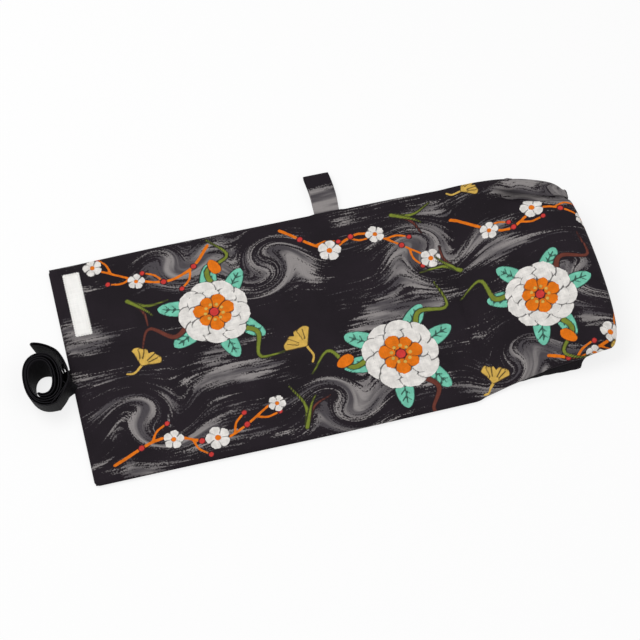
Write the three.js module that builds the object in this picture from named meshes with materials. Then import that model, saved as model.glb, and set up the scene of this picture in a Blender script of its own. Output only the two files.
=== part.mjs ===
// Dice bag on an unrolled cloth panel, lying printed side up on a table.
// Millimetres. X runs from the strap end to the bag's base, Y across to the hanging loop, Z up.
import * as THREE from 'three';

// Panel, in layers from the table up: pocket, lining, stiffener, printed cover
const panelLength = 373; // strap end to the crease at the bag's mouth
const panelWidth = 230;
const panelCornerRadius = 5;
const coverThickness = 0.9;
const liningThickness = 0.7;
const stiffenerThickness = 1.4;
const pocketThickness = 0.7;
const layerClearance = 0.3;
const seamAllowance = 14; // strap and loop ends are sewn in this border

// Patch pocket on the inner side
const pocketLength = 210;
const pocketDepth = 140;
const pocketFromStrapEnd = 45;
const pocketFromSide = 8;

// Bag: a wedge that opens from the mouth crease to a boxed base
const bagHeight = 44;
const frontReach = 116; // mouth crease to the front's base edge
const frontBaseWidth = 160;
const sideSeamReach = 102; // mouth crease to the seam that joins front and back at the base
const sideSeamHeight = 21;
const sideSeamSpan = 202;
const floorReach = 81; // mouth crease to the back's base edge on the table
const floorWidth = 208;
const backThickness = 0.9;
const mouthGap = 12; // slot between the lining's end and the back's hem
const seamClearance = 0.8;

// Closing strap: webbing folded double and rolled up on its edge
const strapWidth = 25;
const strapThickness = 1;
const strapFromMiddle = -5;
const strapAboveTable = 0.1;
const strapSewnLength = 12;
const strapTwistLength = 7.5;
const coilFromStrapEnd = 26.5;
const coilFromMiddle = -12;
const coilHalfLength = 16;
const coilHalfWidth = 23.5;
const coilTurns = 1.5;
const plySpacing = 1.5;
const coilStartAngle = -10; // degrees from +X, where the strap joins the coil
const coilStepAngle = 18;
const tailReach = 39; // free end from the middle of the coil
const tailSideways = 2.5;
const tailBendReach = 28; // where the tail turns outwards, from the middle of the coil

// Hanging loop of folded tape
const loopWidth = 24.5;
const loopReach = 44;
const loopFromStrapEnd = 270.5;
const loopGap = 5.2;
const loopTouchdown = 9; // panel edge to where the lower ply reaches the table
const loopArchFoot = 4.5; // panel edge to where the upper ply leaves the seam's level
const loopArchStart = 15.5; // panel edge to where the upper ply runs level again
const tapeThickness = 0.6;
const tapePlyClearance = 0.2;
const loopSewnLength = 12;

// Woven label with pinked edges
const labelLength = 69;
const labelWidth = 16.5;
const labelThickness = 0.4;
const labelFromStrapEnd = 11.5;
const labelFromSide = 11;
const pinkPitch = 2.4;
const pinkDepth = 0.7;

// Heights of the layers above the table
const liningBottom = pocketThickness + layerClearance;
const liningTop = liningBottom + liningThickness;
const stiffenerBottom = liningTop + layerClearance;
const coverBottom = stiffenerBottom + stiffenerThickness + layerClearance;
const coverTop = coverBottom + coverThickness;
const seamMiddle = (liningTop + coverBottom) / 2;
const halfPanel = panelWidth / 2;
const uprightHeight = strapWidth / 2 + strapAboveTable;

const arcSteps = 4; // straight steps in a rounded corner

const bag = new THREE.Group();

function addPiece(name, geometry, color, roughness) {
  const material = new THREE.MeshStandardMaterial({ color, roughness, metalness: 0 });
  const mesh = new THREE.Mesh(geometry, material);
  mesh.name = name;
  bag.add(mesh);
}

function indexedGeometry(points, triangles) {
  const geometry = new THREE.BufferGeometry();
  geometry.setFromPoints(points);
  geometry.setIndex(triangles.flat());
  geometry.computeVertexNormals();
  return geometry;
}

// A flat piece with the given outline, standing on the given height.
function slab(outline, bottom, thickness) {
  const options = { depth: thickness, bevelEnabled: false, curveSegments: arcSteps };
  const geometry = new THREE.ExtrudeGeometry(outline, options);
  geometry.translate(0, 0, bottom);
  return geometry;
}

// Rectangle with its two strap-end corners rounded.
function panelOutline(length) {
  const outline = new THREE.Shape();
  const r = panelCornerRadius;
  outline.moveTo(length, -halfPanel);
  outline.lineTo(length, halfPanel);
  outline.lineTo(r, halfPanel);
  outline.absarc(r, halfPanel - r, r, Math.PI / 2, Math.PI, false);
  outline.lineTo(0, r - halfPanel);
  outline.absarc(r, r - halfPanel, r, Math.PI, Math.PI * 1.5, false);
  return outline;
}

function rectangle(x0, x1, y0, y1) {
  const corners = [[x0, y0], [x1, y0], [x1, y1], [x0, y1]];
  return new THREE.Shape(corners.map(([x, y]) => new THREE.Vector2(x, y)));
}

// How far a vertex moves inwards so that each face round it moves by the wall's thickness.
function insetOf(normals, thickness) {
  const softness = 1e-6;
  const m = new THREE.Matrix3().set(softness, 0, 0, 0, softness, 0, 0, 0, softness);
  const e = m.elements;
  const sum = new THREE.Vector3();
  for (const n of normals) {
    const parts = n.toArray();
    for (let row = 0; row < 3; row += 1) {
      for (let column = 0; column < 3; column += 1) {
        e[column * 3 + row] += parts[row] * parts[column];
      }
    }
    sum.add(n);
  }
  return sum.multiplyScalar(-thickness).applyMatrix3(m.invert());
}

// A closed sheet: the outer faces, the same faces set inwards by the thickness, and a rim.
function sheet(points, triangles, thickness) {
  const normalsAt = points.map(() => []);
  const edges = new Set();
  for (const [a, b, c] of triangles) {
    const normal = new THREE.Triangle(points[a], points[b], points[c]).getNormal(new THREE.Vector3());
    [a, b, c].forEach((corner) => normalsAt[corner].push(normal));
    [[a, b], [b, c], [c, a]].forEach(([from, to]) => edges.add(`${from},${to}`));
  }
  const inner = points.map((p, i) => p.clone().add(insetOf(normalsAt[i], thickness)));
  const count = points.length;
  const faces = triangles.flatMap(([a, b, c]) => [[a, b, c], [a + count, c + count, b + count]]);
  for (const edge of edges) {
    const [from, to] = edge.split(',').map(Number);
    if (!edges.has(`${to},${from}`)) {
      faces.push([to, from, from + count], [to, from + count, to + count]);
    }
  }
  return indexedGeometry([...points, ...inner], faces);
}

// A strip of rectangular section. Each station has a middle point, a width direction and a heading.
function strip(stations, width, thickness) {
  const points = [];
  const faces = [];
  stations.forEach(({ middle, across, heading }, i) => {
    const through = new THREE.Vector3().crossVectors(heading, across).normalize();
    for (const [u, v] of [[-1, -1], [1, -1], [1, 1], [-1, 1]]) {
      const corner = middle.clone().addScaledVector(across, u * width / 2);
      points.push(corner.addScaledVector(through, v * thickness / 2));
    }
    if (i > 0) {
      const here = i * 4;
      for (let side = 0; side < 4; side += 1) {
        const next = (side + 1) % 4;
        faces.push([here - 4 + side, here - 4 + next, here + next]);
        faces.push([here - 4 + side, here + next, here + side]);
      }
    }
  });
  const last = points.length - 4;
  faces.push([0, 2, 1], [0, 3, 2], [last, last + 1, last + 2], [last, last + 2, last + 3]);
  return indexedGeometry(points, faces);
}

// Headings along a row of points, each from the point before to the point after.
function headings(middles) {
  return middles.map((_, i) => {
    const before = middles[Math.max(i - 1, 0)];
    const after = middles[Math.min(i + 1, middles.length - 1)];
    return new THREE.Vector3().subVectors(after, before).normalize();
  });
}

function mirrored(x, y, z) {
  return [new THREE.Vector3(x, -y, z), new THREE.Vector3(x, y, z)];
}

// Printed cover: the panel, the bag's front, and the front's half of the sides and of the base.
function printedCover() {
  const outline = panelOutline(panelLength).extractPoints(arcSteps).shape.slice(0, -1);
  const points = outline.map((p) => new THREE.Vector3(p.x, p.y, coverTop));
  const triangles = THREE.ShapeUtils.triangulateShape(outline, []);
  const [mouthNear, mouthFar] = [0, 1];
  const baseNear = points.length;
  const [baseFar, seamNear, seamFar] = [baseNear + 1, baseNear + 2, baseNear + 3];
  points.push(...mirrored(panelLength + frontReach, frontBaseWidth / 2, bagHeight));
  points.push(...mirrored(panelLength + sideSeamReach, sideSeamSpan / 2, sideSeamHeight));
  triangles.push([mouthNear, baseNear, baseFar], [mouthNear, baseFar, mouthFar]);
  triangles.push([mouthNear, seamNear, baseNear], [mouthFar, baseFar, seamFar]);
  triangles.push([baseNear, seamNear, seamFar], [baseNear, seamFar, baseFar]);
  return sheet(points, triangles, coverThickness);
}

// Bag back: the floor on the table, and the back's half of the sides and of the base.
function bagBack() {
  const rimReach = sideSeamReach - seamClearance;
  const mouthToSeam = mouthGap / sideSeamReach;
  const hemTop = coverBottom + (sideSeamHeight - coverBottom) * mouthToSeam - seamClearance;
  const hemHalf = halfPanel + (sideSeamSpan / 2 - halfPanel) * mouthToSeam;
  const points = [
    ...mirrored(panelLength + mouthGap, hemHalf, 0),
    ...mirrored(panelLength + floorReach, floorWidth / 2, 0),
    ...mirrored(panelLength + mouthGap, hemHalf, hemTop),
    ...mirrored(panelLength + rimReach, sideSeamSpan / 2, sideSeamHeight - seamClearance),
  ];
  const [hemNear, hemFar, baseNear, baseFar, rimNear, rimFar, seamNear, seamFar] = points.keys();
  const triangles = [
    [hemNear, baseFar, baseNear], [hemNear, hemFar, baseFar],
    [hemNear, baseNear, seamNear], [hemNear, seamNear, rimNear],
    [hemFar, seamFar, baseFar], [hemFar, rimFar, seamFar],
    [baseNear, baseFar, seamFar], [baseNear, seamFar, seamNear],
  ];
  return sheet(points, triangles, backThickness);
}

function stiffener() {
  const inset = halfPanel - seamAllowance;
  const outline = rectangle(seamAllowance, panelLength - seamAllowance, -inset, inset);
  return slab(outline, stiffenerBottom, stiffenerThickness);
}

function pocketPanel() {
  const near = pocketFromSide - halfPanel;
  const left = pocketFromStrapEnd;
  const outline = rectangle(left, left + pocketLength, near, near + pocketDepth);
  return slab(outline, 0, pocketThickness);
}

// One side of the label: small teeth from the start, the last point left to the next side.
function pinkedSide(from, to) {
  const along = new THREE.Vector2().subVectors(to, from);
  const teeth = Math.round(along.length() / pinkPitch);
  const inwards = new THREE.Vector2(-along.y, along.x).setLength(pinkDepth);
  const side = [];
  for (let i = 0; i < teeth; i += 1) {
    side.push(from.clone().addScaledVector(along, i / teeth));
    side.push(from.clone().addScaledVector(along, (i + 0.5) / teeth).add(inwards));
  }
  return side;
}

function label() {
  const far = halfPanel - labelFromSide;
  const left = labelFromStrapEnd;
  const corners = rectangle(left, left + labelWidth, far - labelLength, far).getPoints();
  const edge = [0, 1, 2, 3].flatMap((i) => pinkedSide(corners[i], corners[(i + 1) % 4]));
  return slab(new THREE.Shape(edge), coverTop + layerClearance, labelThickness);
}

// Hanging loop: the tape leaves the seam, lies on the table, folds back and returns to the seam.
function sideLoop() {
  const lower = seamMiddle - (tapePlyClearance + tapeThickness) / 2;
  const upper = seamMiddle + (tapePlyClearance + tapeThickness) / 2;
  const laid = tapeThickness;
  const foldRadius = (loopGap + tapeThickness) / 2;
  const foldStart = halfPanel + loopReach - foldRadius - tapeThickness / 2;
  const archTop = laid + foldRadius * 2;
  const route = [
    [halfPanel - loopSewnLength, lower],
    [halfPanel, lower],
    [halfPanel + loopTouchdown, laid],
    [foldStart, laid],
  ];
  for (let turn = -60; turn <= 60; turn += 30) {
    const angle = THREE.MathUtils.degToRad(turn);
    route.push([foldStart + foldRadius * Math.cos(angle), laid + foldRadius * (1 + Math.sin(angle))]);
  }
  route.push([foldStart, archTop], [halfPanel + loopArchStart, archTop], [halfPanel + loopArchFoot, upper]);
  route.push([halfPanel - loopSewnLength, upper]);
  const middles = route.map(([y, z]) => new THREE.Vector3(loopFromStrapEnd, y, z));
  const across = new THREE.Vector3(1, 0, 0);
  const stations = headings(middles).map((heading, i) => ({ middle: middles[i], across, heading }));
  return strip(stations, loopWidth, tapeThickness);
}

// A point on the rolled strap, set in from the outermost turn by the given distance.
function coilPoint(angle, setIn) {
  const turn = THREE.MathUtils.degToRad(angle);
  const x = (coilHalfLength - setIn) * Math.cos(turn) - coilFromStrapEnd;
  const y = (coilHalfWidth - setIn) * Math.sin(turn) + coilFromMiddle;
  return new THREE.Vector3(x, y, uprightHeight);
}

// Closing strap: flat in the seam, twisted upright, rolled in to a fold, rolled out again to a free tail.
function closingStrap() {
  const middles = [];
  const twists = [];
  const addFlat = (x, twist) => {
    const lift = (uprightHeight - seamMiddle) * Math.sin(twist);
    middles.push(new THREE.Vector3(x, strapFromMiddle, seamMiddle + lift));
    twists.push(twist);
  };
  const twistSteps = 5;
  const tailSteps = 6;
  addFlat(strapSewnLength, 0);
  for (let i = 0; i <= twistSteps; i += 1) {
    addFlat(-strapTwistLength * i / twistSteps, Math.PI / 2 * i / twistSteps);
  }
  const addUpright = (point) => {
    middles.push(point);
    twists.push(Math.PI / 2);
  };
  const pitch = plySpacing * 2;
  const sweep = coilTurns * 360;
  const steps = Math.round(sweep / coilStepAngle);
  for (let i = 0; i <= steps; i += 1) {
    addUpright(coilPoint(coilStartAngle - sweep * i / steps, pitch * coilTurns * i / steps));
  }
  const foldAngle = coilStartAngle - sweep;
  const outerPly = coilPoint(foldAngle, pitch * coilTurns);
  const innerPly = coilPoint(foldAngle, pitch * coilTurns + plySpacing);
  const foldMiddle = new THREE.Vector3().lerpVectors(outerPly, innerPly, 0.5);
  const outwards = new THREE.Vector3().subVectors(outerPly, innerPly).setLength(plySpacing / 2);
  const ahead = new THREE.Vector3(outwards.y, -outwards.x, 0);
  for (const turn of [Math.PI / 4, Math.PI / 2, Math.PI * 0.75]) {
    const reach = outwards.clone().multiplyScalar(Math.cos(turn));
    addUpright(foldMiddle.clone().add(reach).addScaledVector(ahead, Math.sin(turn)));
  }
  for (let i = 0; i <= steps; i += 1) {
    const setIn = pitch * coilTurns * (1 - i / steps) + plySpacing;
    addUpright(coilPoint(foldAngle + sweep * i / steps, setIn));
  }
  const tailStart = coilPoint(coilStartAngle / 2, plySpacing);
  const bendY = coilFromMiddle + tailBendReach;
  const endY = coilFromMiddle + tailReach;
  const tailBend = new THREE.Vector3(tailStart.x + tailSideways, bendY, uprightHeight);
  const tailEnd = new THREE.Vector3(tailSideways - coilFromStrapEnd, endY, uprightHeight);
  const tail = new THREE.QuadraticBezierCurve3(tailStart, tailBend, tailEnd);
  tail.getPoints(tailSteps).forEach(addUpright);
  const stations = headings(middles).map((heading, i) => {
    const level = new THREE.Vector3(heading.x, heading.y, 0).normalize();
    const sideways = new THREE.Vector3(-level.y, level.x, 0);
    const across = sideways.multiplyScalar(Math.cos(twists[i]));
    across.z = Math.sin(twists[i]);
    return { middle: middles[i], across, heading: level };
  });
  return strip(stations, strapWidth, strapThickness);
}

addPiece('pocket_panel', pocketPanel(), 0x17151a, 0.9);
addPiece('lining_panel', slab(panelOutline(panelLength), liningBottom, liningThickness), 0x17151a, 0.9);
addPiece('panel_stiffener', stiffener(), 0xb9b4ac, 0.95);
addPiece('printed_cover', printedCover(), 0x1e1a20, 0.85);
addPiece('bag_back', bagBack(), 0x141216, 0.9);
addPiece('closing_strap', closingStrap(), 0x101012, 0.8);
addPiece('side_loop', sideLoop(), 0x6b666b, 0.85);
addPiece('label', label(), 0xf2efea, 0.8);

// The whole object stands on the table with the middle of its box over the origin.
const box = new THREE.Box3().setFromObject(bag, true);
const middle = box.getCenter(new THREE.Vector3());
bag.position.set(-middle.x, -middle.y, -box.min.z);

export default bag;
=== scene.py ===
import math
import bpy
import numpy as np
from mathutils import Matrix, Vector


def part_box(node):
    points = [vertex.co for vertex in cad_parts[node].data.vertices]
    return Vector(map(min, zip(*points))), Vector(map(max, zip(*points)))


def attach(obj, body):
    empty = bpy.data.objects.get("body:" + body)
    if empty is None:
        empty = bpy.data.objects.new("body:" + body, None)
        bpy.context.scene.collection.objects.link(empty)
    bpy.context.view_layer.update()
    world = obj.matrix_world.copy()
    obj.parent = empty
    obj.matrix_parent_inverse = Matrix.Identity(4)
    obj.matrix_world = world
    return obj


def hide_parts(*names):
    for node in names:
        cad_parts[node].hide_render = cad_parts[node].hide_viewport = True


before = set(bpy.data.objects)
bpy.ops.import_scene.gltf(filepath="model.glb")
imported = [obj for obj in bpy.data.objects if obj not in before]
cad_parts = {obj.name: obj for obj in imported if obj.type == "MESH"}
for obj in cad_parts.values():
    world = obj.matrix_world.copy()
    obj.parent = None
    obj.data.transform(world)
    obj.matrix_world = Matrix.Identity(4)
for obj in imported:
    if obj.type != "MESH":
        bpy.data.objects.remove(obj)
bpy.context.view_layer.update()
mm = 0.001  # sizes below are millimetres, meshes are metres
print("frame loaded")


def boxOf(node):
    low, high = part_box(node)
    return np.array(low) / mm, np.array(high) / mm


coverLow, coverHigh = boxOf("printed_cover")
liningLow, liningHigh = boxOf("lining_panel")
labelLow, labelHigh = boxOf("label")
loopLow, loopHigh = boxOf("side_loop")
strapLow, strapHigh = boxOf("closing_strap")
pocketLow, pocketHigh = boxOf("pocket_panel")
strapEnd = coverLow[0]
mouthX = liningHigh[0]
middleY = (coverLow[1] + coverHigh[1]) / 2
halfWidth = (coverHigh[1] - coverLow[1]) / 2
panelTop = labelLow[2] - 0.3
loopMiddleX = (loopLow[0] + loopHigh[0]) / 2
seamLevel = (liningHigh[2] + coverLow[2]) / 2
strapShare = 0.43  # where the strap leaves the seam, as a share of its box
strapMiddleY = strapLow[1] + (strapHigh[1] - strapLow[1]) * strapShare


# Curves and surfaces

def smoothStep(value, low, high):
    k = np.clip((np.asarray(value, float) - low) / (high - low), 0, 1)
    return k * k * (3 - 2 * k)


def bell(distance, width):
    return np.exp(-(np.asarray(distance, float) / width) ** 2)


def arcLength(path):
    steps = np.linalg.norm(np.diff(path, axis=0), axis=1)
    return np.concatenate([[0], np.cumsum(steps)])


# points at equal steps of length along a polyline
def resample(path, count):
    path = np.asarray(path, float)
    along = arcLength(path)
    at = np.linspace(0, along[-1], count)
    return np.stack([np.interp(at, along, path[:, k]) for k in range(path.shape[1])], 1)


# a curve through the points: each stretch is the cubic whose end slopes come from the neighbours
def smoothPath(points, count):
    p = np.asarray(points, float)
    p = np.vstack([2 * p[0] - p[1], p, 2 * p[-1] - p[-2]])
    u = np.linspace(0, 1, 24, endpoint=False)[:, None]
    a, b, c, d = (p[k:len(p) - 3 + k, None, :] for k in range(4))
    dense = 0.5 * (2 * b + (c - a) * u + (2 * a - 5 * b + 4 * c - d) * u**2 + (3 * b - a - 3 * c + d) * u**3)
    return resample(np.vstack([dense.reshape(-1, p.shape[1]), p[-2:-1]]), count)


# unit normals of a grid: the cross product of its two central differences
def gridNormals(grid):
    n = np.cross(np.gradient(grid, axis=0), np.gradient(grid, axis=1))
    return n / np.maximum(np.linalg.norm(n, axis=2, keepdims=True), 1e-9)


def gridQuads(rows, columns, start=0):
    i = np.arange(rows * columns).reshape(rows, columns) + start
    return np.stack([i[:-1, :-1], i[1:, :-1], i[1:, 1:], i[:-1, 1:]], -1).reshape(-1, 4)


def gridRim(rows, columns, start=0):
    i = np.arange(rows * columns).reshape(rows, columns) + start
    return np.concatenate([i[:-1, 0], i[-1, :-1], i[:0:-1, -1], i[0, :0:-1]])


# A closed sheet: the outer grid, every step-th point of it set in along the normal, and a rim between them
def closedSheet(outer, thickness, step=1):
    inner = (outer - gridNormals(outer) * thickness)[::step, ::step]
    start = outer.shape[0] * outer.shape[1]
    outside = gridRim(*outer.shape[:2])
    inside = gridRim(*inner.shape[:2], start)
    faces = [gridQuads(*outer.shape[:2]), gridQuads(*inner.shape[:2], start)[:, ::-1]]
    after = np.roll(inside, -1)
    if step == 1:
        faces.append(np.stack([inside, after, np.roll(outside, -1), outside], 1))
    else:
        first, half, last = outside[::2], outside[1::2], np.roll(outside[::2], -1)
        faces.append(np.stack([inside, after, half], 1))
        faces.append(np.stack([inside, half, first], 1))
        faces.append(np.stack([after, last, half], 1))
    points = np.vstack([outer.reshape(-1, 3), inner.reshape(-1, 3)])
    return points, faces


# values given on the outer grid, repeated for the inner one
def onBothSides(values, step=1):
    depth = values.shape[2:]
    return np.concatenate([values.reshape(-1, *depth), values[::step, ::step].reshape(-1, *depth)])


# A ribbon of rectangular section carried along a path: the section's ring is a row of points on one
# face and the same row back on the other, a little thinner towards the two edges
def ribbon(path, across, width, thickness, columns=9):
    heading = np.gradient(path, axis=0)
    heading /= np.linalg.norm(heading, axis=1, keepdims=True)
    through = np.cross(heading, across)
    through /= np.linalg.norm(through, axis=1, keepdims=True)
    u = np.sin(np.linspace(-1, 1, columns) * math.pi / 2)
    h = thickness / 2 * (1 - 0.45 * np.abs(u) ** 10)
    ring = np.concatenate([np.stack([u * width / 2, h], 1), np.stack([u * width / 2, -h], 1)[::-1]])
    grid = path[:, None] + across[:, None] * ring[None, :, :1] + through[:, None] * ring[None, :, 1:]
    rows, n = grid.shape[:2]
    i = np.arange(rows * n).reshape(rows, n)
    j = np.roll(i, -1, axis=1)
    sides = np.stack([i[:-1], i[1:], j[1:], j[:-1]], -1).reshape(-1, 4)
    k = np.arange(columns - 1)
    cap = np.stack([k, k + 1, n - 2 - k, n - 1 - k], 1)
    along = np.repeat(arcLength(path)[:, None], n, 1)
    cloth = np.stack([along, np.repeat(ring[None, :, 0], rows, 0), 0 * along], -1)
    return grid.reshape(-1, 3), [sides, cap[:, ::-1], cap + i[-1, 0]], cloth.reshape(-1, 3)


# six times the enclosed volume is the sum of the corner triple products; faces turn round if it is negative
def outwards(points, faces):
    total = 0.0
    for f in faces:
        for k in range(1, f.shape[1] - 1):
            a, b, c = points[f[:, 0]], points[f[:, k]], points[f[:, k + 1]]
            total += np.einsum("ij,ij->i", a, np.cross(b, c)).sum()
    return faces if total > 0 else [f[:, ::-1] for f in faces]


def makePiece(name, points, faces, material, attributes=None):
    faces = outwards(points, faces)
    corners = np.concatenate([f.ravel() for f in faces]).astype(np.int32)
    sizes = np.concatenate([np.full(len(f), f.shape[1]) for f in faces])
    starts = np.concatenate([[0], np.cumsum(sizes)[:-1]]).astype(np.int32)
    mesh = bpy.data.meshes.new(name)
    mesh.vertices.add(len(points))
    mesh.vertices.foreach_set("co", (points * mm).astype(np.float32).ravel())
    mesh.loops.add(len(corners))
    mesh.loops.foreach_set("vertex_index", corners)
    mesh.polygons.add(len(sizes))
    mesh.polygons.foreach_set("loop_start", starts)
    mesh.update(calc_edges=True)
    mesh.validate()
    mesh.shade_smooth()
    for key, values in (attributes or {}).items():
        flat = values.ndim == 1
        layer = mesh.attributes.new(key, "FLOAT" if flat else "FLOAT_VECTOR", "POINT")
        layer.data.foreach_set("value" if flat else "vector", values.astype(np.float32).ravel())
    mesh.materials.append(material)
    piece = bpy.data.objects.new(name, mesh)
    bpy.context.scene.collection.objects.link(piece)
    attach(piece, "root")
    print(name, len(points), "points")
    return piece


# Node helpers

def addNode(tree, kind, inputs=None, **settings):
    node = tree.nodes.new(kind)
    for key, value in settings.items():
        setattr(node, key, value)
    for key, value in (inputs or {}).items():
        socket = node.inputs[key]
        if isinstance(value, bpy.types.NodeSocket):
            tree.links.new(value, socket)
        else:
            socket.default_value = value
    return node


def maths(tree, operation, *values):
    return addNode(tree, "ShaderNodeMath", dict(enumerate(values)), operation=operation).outputs[0]


def ramp(tree, value, low, high, toLow=0.0, toHigh=1.0):
    inputs = {"Value": value, "From Min": low, "From Max": high, "To Min": toLow, "To Max": toHigh}
    return addNode(tree, "ShaderNodeMapRange", inputs, interpolation_type="SMOOTHSTEP").outputs["Result"]


def mixColour(tree, factor, a, b, blend="MIX"):
    node = addNode(tree, "ShaderNodeMix", {0: factor, 6: a, 7: b}, data_type="RGBA", blend_type=blend)
    return node.outputs[2]


def scaled(tree, vector, scale):
    inputs = {0: vector, 1: scale}
    return addNode(tree, "ShaderNodeVectorMath", inputs, operation="MULTIPLY").outputs[0]


def noise(tree, vector, scale, detail=2.0, rough=0.5):
    inputs = {"Vector": vector, "Scale": scale, "Detail": detail, "Roughness": rough}
    return addNode(tree, "ShaderNodeTexNoise", inputs).outputs["Fac"]


def attribute(tree, name, output="Fac"):
    return addNode(tree, "ShaderNodeAttribute", attribute_name=name).outputs[output]


# sRGB hex to the linear colour that Blender keeps
def colour(hexText):
    parts = [int(hexText[k:k + 2], 16) / 255 for k in (1, 3, 5)]
    return (*[c / 12.92 if c <= 0.04045 else ((c + 0.055) / 1.055) ** 2.4 for c in parts], 1.0)


def newMaterial(name, **settings):
    material = bpy.data.materials.new(name)
    material.use_nodes = True
    tree = material.node_tree
    shader = tree.nodes["Principled BSDF"]
    for key, value in settings.items():
        shader.inputs[key.replace("_", " ")].default_value = value
    return material, tree, shader


def newGroup(name, inputs, outputs):
    tree = bpy.data.node_groups.new(name, "ShaderNodeTree")
    for kind, entries in (("INPUT", inputs), ("OUTPUT", outputs)):
        for label, socketType in entries:
            tree.interface.new_socket(name=label, in_out=kind, socket_type=socketType)
    start = tree.nodes.new("NodeGroupInput")
    end = tree.nodes.new("NodeGroupOutput")
    return tree, start.outputs, end.inputs


# Plain weave: warp and weft threads take turns on top, each a half wave across its width
def weaveGroup():
    tree, given, result = newGroup(
        "plainWeave",
        [("Cloth", "NodeSocketVector"), ("Threads per metre", "NodeSocketFloat")],
        [("Height", "NodeSocketFloat"), ("Slub", "NodeSocketFloat")],
    )
    count = given["Threads per metre"]
    spread = addNode(tree, "ShaderNodeVectorMath", {0: given["Cloth"], "Scale": count}, operation="SCALE")
    parts = addNode(tree, "ShaderNodeSeparateXYZ", {0: spread.outputs[0]}).outputs
    cells = [maths(tree, "FLOOR", parts[k]) for k in (0, 1)]
    turn = maths(tree, "MODULO", maths(tree, "ABSOLUTE", maths(tree, "ADD", *cells)), 2.0)
    turns = [maths(tree, "MULTIPLY", parts[k], math.pi) for k in (0, 1)]
    waves = [maths(tree, "ABSOLUTE", maths(tree, "SINE", turn)) for turn in turns]
    first = maths(tree, "MULTIPLY", waves[0], turn)
    second = maths(tree, "MULTIPLY", waves[1], maths(tree, "SUBTRACT", 1.0, turn))
    tree.links.new(maths(tree, "ADD", first, second), result["Height"])
    slubs = [noise(tree, scaled(tree, given["Cloth"], s), 1.0, 2.0) for s in ((60, 900, 1), (900, 60, 1))]
    tree.links.new(maths(tree, "MULTIPLY", maths(tree, "ADD", *slubs), 0.5), result["Slub"])
    return tree


# Lint and handling: broad soft patches, and a few pale specks of fluff
def lintGroup():
    tree, given, result = newGroup(
        "lintAndHandling",
        [("Cloth", "NodeSocketVector")],
        [("Patches", "NodeSocketFloat"), ("Specks", "NodeSocketFloat")],
    )
    patches = noise(tree, given["Cloth"], 18.0, 3.0)
    tree.links.new(ramp(tree, patches, 0.3, 0.7), result["Patches"])
    dots = addNode(tree, "ShaderNodeTexVoronoi", {"Vector": given["Cloth"], "Scale": 110.0})
    specks = ramp(tree, dots.outputs["Distance"], 0.05, 0.02)
    tree.links.new(specks, result["Specks"])
    return tree


weave = weaveGroup()
lint = lintGroup()


def clothNodes(tree, threads):
    cloth = attribute(tree, "cloth", "Vector")
    threadsNode = addNode(tree, "ShaderNodeGroup", node_tree=weave)
    tree.links.new(cloth, threadsNode.inputs["Cloth"])
    threadsNode.inputs["Threads per metre"].default_value = threads
    lintNode = addNode(tree, "ShaderNodeGroup", node_tree=lint)
    tree.links.new(cloth, lintNode.inputs["Cloth"])
    return cloth, threadsNode.outputs, lintNode.outputs


def bumpTo(tree, shader, height, strength, distance):
    bump = addNode(tree, "ShaderNodeBump", {"Height": height, "Strength": strength, "Distance": distance})
    tree.links.new(bump.outputs["Normal"], shader.inputs["Normal"])


# Printed cotton: near-black ground, dry brushed grey clouds along the flow, then the painted fields
printInks = [
    ("rust", "#6e3a30"), ("olive", "#7d8a34"), ("teal", "#79cdb2"), ("orange", "#ec7a16"),
    ("white", "#efebe6"), ("red", "#d63f3b"), ("gold", "#dcb457"),
]


def printedCotton():
    material, tree, shader = newMaterial("printedCotton", Roughness=0.82, Specular_IOR_Level=0.12)
    cloth, threads, fluff = clothNodes(tree, 2100.0)
    ground = mixColour(tree, fluff["Patches"], colour("#1a151a"), colour("#211b21"))
    flow = attribute(tree, "flow", "Vector")
    mass = noise(tree, scaled(tree, flow, (10, 34, 1)), 1.0, 4.0, 0.55)
    streaks = noise(tree, scaled(tree, flow, (28, 400, 1)), 1.0, 3.0)
    grain = noise(tree, cloth, 650.0, 2.0)
    rough = maths(tree, "ADD", maths(tree, "MULTIPLY", streaks, 0.5), maths(tree, "MULTIPLY", grain, 0.3))
    level = maths(tree, "ADD", maths(tree, "ADD", mass, attribute(tree, "cloudy")), rough)
    body = ramp(tree, level, 0.93, 1.01)
    strokes = ramp(tree, noise(tree, scaled(tree, flow, (15, 95, 1)), 1.0, 3.0), 0.38, 0.64)
    tone = mixColour(tree, strokes, colour("#4c484c"), colour("#95908f"))
    shade = mixColour(tree, maths(tree, "MULTIPLY", body, 0.92), ground, tone)
    wobble = maths(tree, "MULTIPLY", maths(tree, "SUBTRACT", noise(tree, cloth, 260.0), 0.5), 0.9)
    stroke = ramp(tree, noise(tree, cloth, 160.0, 3.0), 0.3, 0.75, 0.78, 1.0)
    for name, hexText in printInks:
        mask = ramp(tree, maths(tree, "ADD", attribute(tree, name), wobble), -0.3, 0.3)
        inputs = {0: colour(hexText)[:3], "Scale": stroke}
        pale = addNode(tree, "ShaderNodeVectorMath", inputs, operation="SCALE")
        shade = mixColour(tree, mask, shade, pale.outputs[0])
    lines = ramp(tree, attribute(tree, "ink"), 1.0, 0.15)
    shade = mixColour(tree, maths(tree, "MULTIPLY", lines, 0.85), shade, colour("#1b171c"))
    weaveTone = ramp(tree, threads["Slub"], 0.3, 0.7, 0.92, 1.06)
    shade = mixColour(tree, 1.0, shade, weaveTone, "MULTIPLY")
    shade = mixColour(tree, maths(tree, "MULTIPLY", fluff["Specks"], 0.12), shade, colour("#8a868a"))
    tree.links.new(shade, shader.inputs["Base Color"])
    bumpTo(tree, shader, threads["Height"], 0.35, 0.0002)
    return material


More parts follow.
